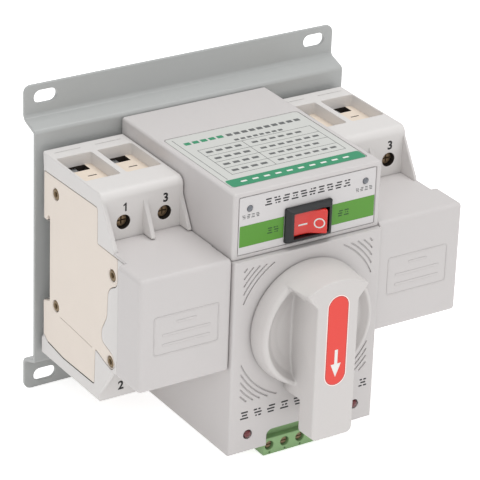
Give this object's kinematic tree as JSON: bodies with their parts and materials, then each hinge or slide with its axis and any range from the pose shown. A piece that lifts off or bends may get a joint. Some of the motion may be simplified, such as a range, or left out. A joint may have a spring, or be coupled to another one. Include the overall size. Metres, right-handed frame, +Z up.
{
  "type": "manual transfer switch",
  "caption": "Wall-mounted changeover switch: two breakers side by side of a drive unit with a rotary handle and a mode rocker, on a folded plate.",
  "frame": {"origin": "middle of the lower flange's back face, where the plate rests on the wall", "axes": "+X to the right as seen from the front, +Y into the wall, +Z up"},
  "size_m": [0.1434, 0.1141, 0.1297],
  "materials": {
    "grey_moulding": "fine satin moulded surface",
    "cream_moulding": "fine matte moulded surface",
    "plate_paint": "light grey powder paint",
    "zinc_steel": "bright zinc plate",
    "brass": "dull passivated",
    "copper": "copper, satin",
    "black_moulding": "satin",
    "red_moulding": "semi-gloss",
    "green_moulding": "satin",
    "white_moulding": "satin",
    "label_sheet": "printed film",
    "white_sheet": "printed film",
    "red_label": "printed film",
    "steel": "turned",
    "board": "solder mask",
    "lamp_red": "tinted lens",
    "led_grey": "tinted lens"
  },
  "bodies": {
    "root": {"block_screw_1": "steel", "block_screw_2": "steel", "block_screw_3": "steel", "block_screw_4": "steel", "centre_base": "grey_moulding", "control_board": "board", "control_label": "white_sheet", "controller_cover": "grey_moulding", "din_rail": "zinc_steel", "front_cover": "grey_moulding", "left_arc_chute": "steel", "left_breaker_case": "grey_moulding", "left_lamp": "lamp_red", "left_led": "led_grey", "left_rivet_1": "brass", "left_rivet_2": "brass", "left_rivet_3": "brass", "left_rivet_4": "brass", "left_side_cover": "cream_moulding", "left_terminal_screw_1": "brass", "left_terminal_screw_2": "brass", "left_terminal_screw_3": "brass", "left_terminal_screw_4": "brass", "left_toggle_cover": "grey_moulding", "left_trip_coil": "copper", "motor": "steel", "mounting_plate": "plate_paint", "nameplate": "label_sheet", "right_arc_chute": "steel", "right_breaker_case": "grey_moulding", "right_lamp": "lamp_red", "right_led": "led_grey", "right_rivet_1": "brass", "right_rivet_2": "brass", "right_rivet_3": "brass", "right_rivet_4": "brass", "right_side_cover": "cream_moulding", "right_terminal_screw_1": "brass", "right_terminal_screw_2": "brass", "right_terminal_screw_3": "brass", "right_terminal_screw_4": "brass", "right_toggle_cover": "grey_moulding", "right_trip_coil": "copper", "rocker_bezel": "black_moulding", "terminal_block": "green_moulding"},
    "knob": {"knob": "grey_moulding", "knob_label": "red_label", "knob_shaft": "steel", "drive_gear": "white_moulding"},
    "motor_pinion": {"motor_pinion": "brass"},
    "rocker": {"rocker": "red_moulding"},
    "left_rack": {"left_rack": "white_moulding"},
    "left_toggle": {"left_toggle_bar": "black_moulding"},
    "left_contact": {"left_contact_arm": "copper"},
    "left_clip": {"left_rail_clip": "black_moulding"},
    "right_rack": {"right_rack": "white_moulding"},
    "right_toggle": {"right_toggle_bar": "black_moulding"},
    "right_contact": {"right_contact_arm": "copper"},
    "right_clip": {"right_rail_clip": "black_moulding"}
  },
  "joints": [
    {"name": "knob_turn", "type": "hinge", "parent": "root", "child": "knob", "pos_m": [0, -0.0939, 0.05], "axis": [0, 1, 0], "range_deg": [-90, 90]},
    {"name": "left_rack_slide", "type": "slide", "parent": "root", "child": "left_rack", "axis": [0, 0, 1], "range_m": [-0.011, 0.011]},
    {"name": "left_toggle_swing", "type": "hinge", "parent": "root", "child": "left_toggle", "pos_m": [-0.0505, -0.068, 0.0583], "axis": [1, 0, 0], "range_deg": [-45.5, 45.5]},
    {"name": "left_contact_swing", "type": "hinge", "parent": "root", "child": "left_contact", "pos_m": [-0.05025, -0.052, 0.062], "axis": [1, 0, 0], "range_deg": [-13.6, 13.6]},
    {"name": "left_clip_slide", "type": "slide", "parent": "root", "child": "left_clip", "axis": [0, 0, -1], "range_m": [0, 0.005]},
    {"name": "right_rack_slide", "type": "slide", "parent": "root", "child": "right_rack", "axis": [0, 0, 1], "range_m": [-0.011, 0.011]},
    {"name": "right_toggle_swing", "type": "hinge", "parent": "root", "child": "right_toggle", "pos_m": [0.0505, -0.068, 0.0583], "axis": [1, 0, 0], "range_deg": [-45.5, 45.5]},
    {"name": "right_contact_swing", "type": "hinge", "parent": "root", "child": "right_contact", "pos_m": [0.05025, -0.052, 0.062], "axis": [1, 0, 0], "range_deg": [-13.6, 13.6]},
    {"name": "right_clip_slide", "type": "slide", "parent": "root", "child": "right_clip", "axis": [0, 0, -1], "range_m": [0, 0.005]},
    {"name": "motor_spin", "type": "hinge", "parent": "root", "child": "motor_pinion", "pos_m": [0, -0.033, 0.029], "axis": [0, 1, 0], "range_deg": [-289, 289]},
    {"name": "rocker_tilt", "type": "hinge", "parent": "root", "child": "rocker", "pos_m": [0, -0.0905, 0.08975], "axis": [0, 0, 1], "range_deg": [0, 28]}
  ],
  "couplings": [
    {"joint": "left_rack_slide", "follows": "knob_turn", "m_per_rad": 0.007},
    {"joint": "right_rack_slide", "follows": "knob_turn", "m_per_rad": -0.007},
    {"joint": "left_toggle_swing", "follows": "knob_turn", "ratio": -0.5},
    {"joint": "right_toggle_swing", "follows": "knob_turn", "ratio": 0.5},
    {"joint": "left_contact_swing", "follows": "knob_turn", "ratio": -0.15},
    {"joint": "right_contact_swing", "follows": "knob_turn", "ratio": 0.15},
    {"joint": "motor_spin", "follows": "knob_turn", "ratio": -3.2}
  ]
}
